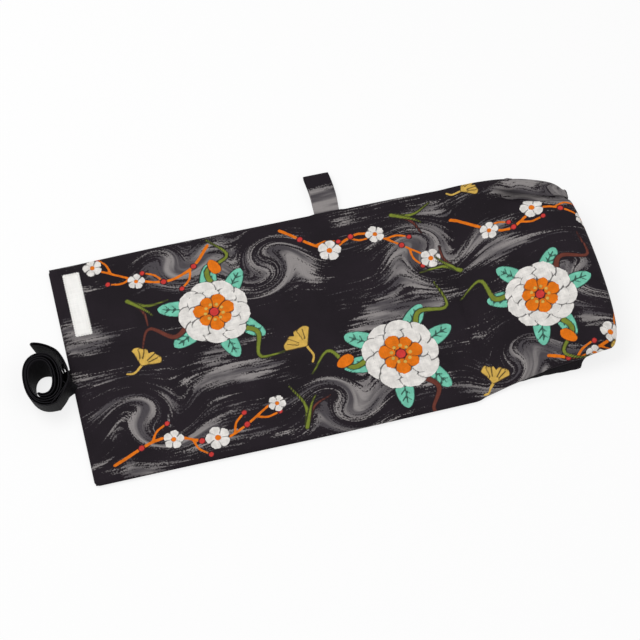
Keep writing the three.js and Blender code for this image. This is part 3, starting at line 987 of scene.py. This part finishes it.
def coilPath(degrees, setIn):
    c = strapTape
    turn = np.radians(degrees)
    share = setIn / (c["spacing"] * (2 * c["turns"] + 1))
    wide, deep = (np.sign(v) * np.abs(v) ** (2 / c["fullness"]) for v in (np.cos(turn), np.sin(turn)))
    x = c["centre"][0] + (c["halfX"] - setIn * c["setIn"][0]) * wide + c["shift"][0] * share
    y = c["centre"][1] + (c["halfY"] - setIn * c["setIn"][1]) * deep + c["shift"][1] * share
    return np.stack([x, y], 1)


def strapPath():
    c = strapTape
    sweep = 360 * c["turns"] - c["foldGap"]
    k = np.linspace(0, 1, 200)
    pitch = 2 * c["spacing"]
    rollIn = coilPath(c["firstAngle"] - sweep * k, pitch * c["turns"] * k)
    rollOut = coilPath(c["firstAngle"] - sweep * (1 - k), pitch * c["turns"] * (1 - k) + c["spacing"])
    start = np.array(c["start"]) + np.array([strapEnd, strapMiddleY])
    fold = (rollIn[-1] + rollOut[0]) / 2
    ahead = rollIn[-1] - rollIn[-3]
    fold = fold + ahead / np.linalg.norm(ahead) * c["spacing"] * 0.6
    return np.vstack([start, rollIn[4:], fold[None], rollOut[:-6], c["tail"]])


def makeStrap():
    c = strapTape
    plan = strapPath()
    count = int(arcLength(plan)[-1] / 1.1)
    plan = smoothPath(plan, count)
    along = arcLength(plan)
    upright = smoothStep(along, *c["uprightFrom"])
    heading = np.gradient(plan, axis=0)
    heading /= np.linalg.norm(heading, axis=1, keepdims=True)
    turn = upright * math.pi / 2
    z = c["lift"] + (seamLevel - c["lift"]) * (1 - upright) + c["width"] / 2 * np.sin(turn)
    path = np.column_stack([plan, z])
    sideways = np.stack([heading[:, 1], -heading[:, 0]], 1)
    tailStart = along[-1] - arcLength(np.array(c["tail"]))[-1]
    rolled = smoothStep(along - tailStart, *c["tailFrom"])
    leanGrown = smoothStep(along, *c["leanFrom"])
    leaning = leanGrown * (c["tailLean"] + (1 - c["tailLean"]) * rolled)
    depth = 1 - np.abs(2 * np.clip(along / tailStart, 0, 1) - 1)
    outward = plan - np.array(c["centre"])
    deep = outward[:, 1] / np.linalg.norm(outward, axis=1)
    leanX = (c["lean"] + (c["innerLean"] - c["lean"]) * depth) * leaning
    leanY = c["flare"] * deep * leanGrown * rolled
    lean = np.stack([leanX, leanY], 1) / c["width"]
    across = np.column_stack([sideways * np.cos(turn)[:, None] + lean, np.sin(turn)])
    points, faces, cloth = ribbon(path, across, c["width"], c["thickness"], 11)
    tip = along[np.argmin(plan[:, 0] + (along < tailStart) * 999)]
    slanted = bell(cloth[:, 0] - tip, c["slantReach"])
    points[:, 0] += c["tailSlant"] * (0.5 - cloth[:, 1] / c["width"]) * slanted
    piece = makePiece("closingStrap", points, faces, webbingTape, {"cloth": cloth * mm})
    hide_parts("closing_strap")


makeStrap()


# Hanging loop: tape sewn into the far edge, laid on the table, folded back on itself
loopTape = {"thickness": 0.55, "printFrom": (236.0, 40.0), "bow": 1.2,
            "grey": 0.26, "darkReach": 15.0}


def makeLoop():
    c = loopTape
    width = loopHigh[0] - loopLow[0]
    edge = middleY + halfWidth
    end = loopHigh[1] - c["thickness"] / 2
    low, high = c["thickness"], loopHigh[2] - c["thickness"] / 2 - 0.2
    route = [(edge - 11.5, seamLevel - 0.4), (edge - 2, seamLevel - 0.4), (edge + 5, seamLevel - 1.2),
             (edge + 11, low), (edge + 26, low), (end - 3.5, low), (end - 0.7, low + 1.2),
             (end, (low + high) / 2), (end - 0.9, high - 1.0), (end - 4.5, high - 0.2),
             (edge + 24, high), (edge + 13, high - 0.5), (edge + 4.5, seamLevel + 1.0),
             (edge - 2, seamLevel + 0.4), (edge - 11.5, seamLevel + 0.4)]
    plan = smoothPath(route, 130)
    path = np.column_stack([np.full(len(plan), loopMiddleX), plan])
    path[:, 0] += c["bow"] * np.sin(np.clip((plan[:, 0] - edge) / (end - edge), 0, 1) * math.pi)
    across = np.tile(np.array([1.0, 0, 0]), (len(path), 1))
    points, faces, cloth = ribbon(path, across, width, c["thickness"], 17)
    s, t = cloth[:, 1] + c["printFrom"][0], cloth[:, 0] + c["printFrom"][1]
    values = paintPrint(s, t)
    for name, _ in printInks:
        values[name] = np.full(len(s), -60.0)
    values["ink"] = np.full(len(s), 9.0)
    values["cloudy"] = c["grey"] - 0.5 * bell(cloth[:, 0] - arcLength(path)[-1] / 2, c["darkReach"])
    piece = makePiece("sideLoop", points, faces, printedCottonCloth, values)
    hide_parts("side_loop")


makeLoop()


# Label: thin tape with a pinked edge, laid on the cover
labelPiece = {"thickness": 0.3, "pitch": 2.4, "depth": 1.0, "clear": 0.12, "coreInset": 1.4, "rowInset": 2.0}


def coverHeight(x, y):
    return panelTop + coverCloth["waves"] * (laidWaves(x, y) + 0.6)


# the outline shrinks towards the middle ring by ring; the outermost ring has the teeth
def makeLabel():
    c = labelPiece
    half = (labelHigh - labelLow)[:2] / 2
    centre = (labelHigh + labelLow)[:2] / 2
    sides = []
    for a, b in (((-1, -1), (1, -1)), ((1, -1), (1, 1)), ((1, 1), (-1, 1)), ((-1, 1), (-1, -1))):
        a, b = np.array(a) * half, np.array(b) * half
        teeth = int(round(np.linalg.norm(b - a) / c["pitch"]))
        u = np.arange(2 * teeth) / (2 * teeth)
        inward = np.array([-(b - a)[1], (b - a)[0]]) / np.linalg.norm(b - a)
        sides.append(a + (b - a) * u[:, None] + inward * (c["depth"] * (np.arange(2 * teeth) % 2))[:, None])
    outline = np.vstack(sides)
    shares = np.array([1.0, 0.97, 0.9, 0.75, 0.55, 0.35, 0.15])
    core = np.clip(outline, -half + c["coreInset"], half - c["coreInset"])
    spine = np.column_stack([0 * core[:, 0], np.clip(core[:, 1], -half[1] + half[0], half[1] - half[0])])
    rings = [outline] + [spine + (core - spine) * k for k in shares[1:]]
    grid = np.stack(rings)
    flat = grid.reshape(-1, 2) + centre
    z = coverHeight(flat[:, 0], flat[:, 1]) + c["clear"]
    top = np.column_stack([flat, z + c["thickness"]])
    low = np.column_stack([flat, z])
    rows, n = grid.shape[:2]
    i = np.arange(rows * n).reshape(rows, n)
    j = np.roll(i, -1, axis=1)
    quads = np.stack([i[:-1], j[:-1], j[1:], i[1:]], -1).reshape(-1, 4)
    low0 = rows * n
    rim = np.stack([i[0] + low0, j[0] + low0, j[0], i[0]], 1)
    ends = [np.array([i[-1]]), np.array([i[-1] + low0])[:, ::-1]]
    points = np.vstack([top, low])
    cloth = np.column_stack([np.vstack([flat, flat]), np.zeros(2 * len(flat))]) * mm
    faces = [quads, quads[:, ::-1] + low0, rim] + ends
    piece = makePiece("bareLabel", points, faces, labelTape, {"cloth": cloth})
    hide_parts("label")
    return piece


bareLabel = makeLabel()


# Stitches: short arched threads along a row, each a six-sided tube with thin ends
stitchSet = {"length": 2.3, "gap": 0.8, "thread": 0.2, "arch": 0.3, "sides": 6}


def stitchRow(path, up=1.0):
    c = stitchSet
    along = arcLength(path)
    count = int(along[-1] / (c["length"] + c["gap"]))
    starts = (np.arange(count) + 0.1) * along[-1] / count
    u = np.array([0, 0.12, 0.5, 0.88, 1.0])
    at = starts[:, None] + c["length"] * u[None, :]
    line = np.stack([np.interp(at, along, path[:, k]) for k in range(3)], -1)
    line[..., 2] += up * c["arch"] * (1 - (2 * u - 1) ** 2)
    ahead = line[:, -1:] - line[:, :1]
    ahead = ahead / np.linalg.norm(ahead, axis=2, keepdims=True)
    side = np.cross(ahead, np.array([0, 0, 1.0]))
    turn = np.arange(c["sides"]) * 2 * math.pi / c["sides"]
    radius = c["thread"] * np.array([0.35, 0.9, 1.0, 0.9, 0.35])[None, :, None, None]
    upward = np.array([0, 0, 1.0]) * np.sin(turn)[:, None]
    ring = side[:, :, None] * np.cos(turn)[None, None, :, None] + upward
    points = line[:, :, None] + radius * ring
    cloth = np.stack([np.broadcast_to(at[..., None], points.shape[:3]),
                      np.broadcast_to(turn * c["thread"], points.shape[:3]), 0 * points[..., 0]], -1)
    return points, cloth


def makeStitches(name, rows, material):
    made = [stitchRow(path, up) for path, up in rows]
    points, cloth = (np.concatenate([pair[k] for pair in made]) for k in (0, 1))
    count, stations, sides = points.shape[:3]
    i = np.arange(count * stations * sides).reshape(count, stations, sides)
    j = np.roll(i, -1, axis=2)
    tubes = np.stack([i[:, :-1], j[:, :-1], j[:, 1:], i[:, 1:]], -1).reshape(-1, 4)
    faces = [tubes, i[:, 0, ::-1], i[:, -1]]
    values = {"cloth": cloth.reshape(-1, 3) * mm}
    return makePiece(name, points.reshape(-1, 3), faces, material, values)


def labelRows():
    inset = labelPiece["rowInset"]
    x0, y0 = labelLow[:2] + inset
    x1, y1 = labelHigh[:2] - inset
    corners = [(x0, y0), (x1, y0), (x1, y1), (x0, y1), (x0, y0)]
    rows = []
    for a, b in zip(corners[:-1], corners[1:]):
        u = np.linspace(0, 1, 60)[:, None]
        flat = np.array(a) + (np.array(b) - np.array(a)) * u
        z = coverHeight(flat[:, 0], flat[:, 1]) + labelPiece["clear"] + labelPiece["thickness"]
        rows.append((np.column_stack([flat, z]), 1.0))
    return rows


def pocketRows():
    c = pocketCloth
    inset = c["rowInset"]
    x0, y0 = pocketLow[:2] + inset
    x1, y1 = pocketHigh[:2] - inset
    low = pocketLow[2] + c["rowLevel"]
    lines = [((x0, y0), (x1, y0)), ((x0, y0), (x0, y1)), ((x1, y0), (x1, y1))]
    lines.append(((x0, y1 - c["hem"] + inset), (x1, y1 - c["hem"] + inset)))
    for k in range(1, c["channels"]):
        x = pocketLow[0] + (pocketHigh[0] - pocketLow[0]) * k / c["channels"]
        lines.append(((x, y0), (x, y1)))
    return [(np.array([(*a, low), (*b, low)]), c["rowArch"]) for a, b in lines]


labelStitches = makeStitches("labelStitches", labelRows(), whiteThread)
pocketStitches = makeStitches("pocketStitches", pocketRows(), blackThread)


# Stiffener keeps its own shape and gets the felt
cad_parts["panel_stiffener"].data.materials.clear()
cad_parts["panel_stiffener"].data.materials.append(feltCloth)


# Stage: a pale floor that keeps a faint shadow, soft light, and the camera of the photograph
stageSet = {"floorSize": 6.0, "floorDrop": 0.0004, "shadow": 0.22, "ambient": 0.5}
lamps = [
    # name, place, size, power
    ("keyLamp", (-0.9, 0.55, 1.9), 1.4, 22.0),
    ("fillLamp", (0.9, -1.0, 1.6), 1.6, 8.0),
]


# one for rays that show the background itself, none for rays that only light the part
def clearRay(tree):
    light = addNode(tree, "ShaderNodeLightPath").outputs
    seen = maths(tree, "MAXIMUM", light["Is Camera Ray"], light["Is Glossy Ray"])
    return maths(tree, "MAXIMUM", seen, light["Is Transmission Ray"])


def makeFloor():
    size = stageSet["floorSize"] / 2
    mesh = bpy.data.meshes.new("floor")
    corners = [(x * size, y * size, -stageSet["floorDrop"]) for x, y in ((-1, -1), (1, -1), (1, 1), (-1, 1))]
    mesh.from_pydata(corners, [], [(0, 1, 2, 3)])
    material = bpy.data.materials.new("paleFloor")
    material.use_nodes = True
    tree = material.node_tree
    tree.nodes.clear()
    lit = addNode(tree, "ShaderNodeBsdfDiffuse", {"Color": (0.93, 0.93, 0.93, 1)})
    plain = addNode(tree, "ShaderNodeEmission", {"Color": (1, 1, 1, 1), "Strength": 1.0})
    share = maths(tree, "MULTIPLY", clearRay(tree), 1 - stageSet["shadow"])
    mixed = addNode(tree, "ShaderNodeMixShader", {0: share, 1: lit.outputs[0], 2: plain.outputs[0]})
    out = addNode(tree, "ShaderNodeOutputMaterial")
    tree.links.new(mixed.outputs[0], out.inputs["Surface"])
    mesh.materials.append(material)
    floor = bpy.data.objects.new("floor", mesh)
    bpy.context.scene.collection.objects.link(floor)


def makeLights():
    for name, place, size, power in lamps:
        lamp = bpy.data.lights.new(name, "AREA")
        lamp.shape = "DISK"
        lamp.size = size
        lamp.energy = power
        holder = bpy.data.objects.new(name, lamp)
        holder.location = place
        holder.rotation_euler = (-Vector(place)).to_track_quat("-Z", "Y").to_euler()
        bpy.context.scene.collection.objects.link(holder)
    world = bpy.data.worlds.new("softRoom")
    world.use_nodes = True
    tree = world.node_tree
    tree.nodes.clear()
    room = addNode(tree, "ShaderNodeBackground", {"Color": (1, 1, 1, 1), "Strength": stageSet["ambient"]})
    back = addNode(tree, "ShaderNodeBackground", {"Color": (1, 1, 1, 1), "Strength": 1.0})
    mixed = addNode(tree, "ShaderNodeMixShader", {0: clearRay(tree), 1: room.outputs[0], 2: back.outputs[0]})
    out = addNode(tree, "ShaderNodeOutputWorld")
    tree.links.new(mixed.outputs[0], out.inputs["Surface"])
    bpy.context.scene.world = world


cameraView = {
    "angle": 20.0,
    "elevation": 60.0,
    "azimuth": -17.43,
    "roll": 3.18,
    "distance": 1683.4,
    "target": (10.8, -19.3, 0.0),
}


def makeCamera():
    c = cameraView
    turn, rise, roll = (math.radians(c[key]) for key in ("azimuth", "elevation", "roll"))
    back = Vector((math.sin(turn) * math.cos(rise), -math.cos(turn) * math.cos(rise), math.sin(rise)))
    level = Vector((math.cos(turn), math.sin(turn), 0))
    upright = back.cross(level)
    right = level * math.cos(roll) + upright * math.sin(roll)
    up = upright * math.cos(roll) - level * math.sin(roll)
    data = bpy.data.cameras.new("camera")
    data.angle = math.radians(c["angle"])
    data.clip_end = 20
    camera = bpy.data.objects.new("camera", data)
    place = (Vector(c["target"]) + back * c["distance"]) * mm
    columns = Matrix((right, up, back)).transposed().to_4x4()
    camera.matrix_world = Matrix.Translation(place) @ columns
    bpy.context.scene.collection.objects.link(camera)
    bpy.context.scene.camera = camera


makeFloor()
makeLights()
makeCamera()
bpy.context.scene.view_settings.view_transform = "Standard"
print("stage set")
